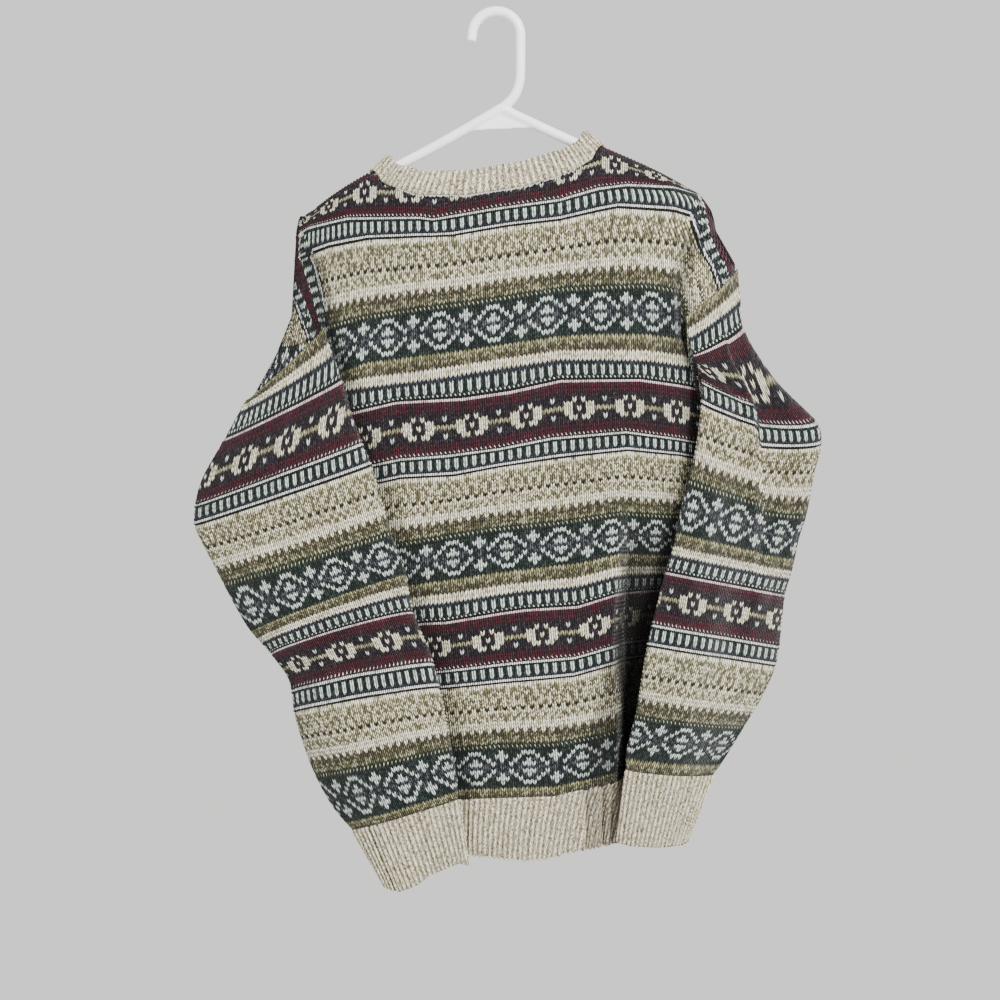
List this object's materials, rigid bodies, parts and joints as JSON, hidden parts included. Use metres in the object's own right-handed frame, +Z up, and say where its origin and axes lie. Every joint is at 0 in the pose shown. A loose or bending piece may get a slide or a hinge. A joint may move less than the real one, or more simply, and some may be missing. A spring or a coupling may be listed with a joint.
{
  "type": "knitted jumper on a plastic hanger",
  "caption": "Fair isle crew-neck jumper, back outwards, hanging from its shoulders on a one-piece moulded plastic hanger, with both long sleeves hanging in over the back.",
  "frame": {"origin": "inner top of the hanger's hook, the point that a rail or nail carries", "axes": "+Z up, +X towards the wearer's right, +Y out of the jumper's front, so that its back faces -Y"},
  "size_m": [0.632, 0.1019, 0.8888],
  "materials": {
    "patterned_knit": "heathered wool stocking stitch in bands of cream, tan, olive, brown, dark green, navy and burgundy",
    "rib_knit": "oatmeal marl wool in single rib",
    "moulded_plastic": "white, semi-gloss, moulded in one piece"
  },
  "bodies": {
    "root": {"back_panel": "patterned_knit", "front_panel": "patterned_knit", "sleeve_left": "patterned_knit", "sleeve_right": "patterned_knit", "cuff_left": "rib_knit", "cuff_right": "rib_knit", "hem_rib_back": "rib_knit", "hem_rib_front": "rib_knit", "neckband": "rib_knit", "hanger": "moulded_plastic"}
  },
  "joints": []
}
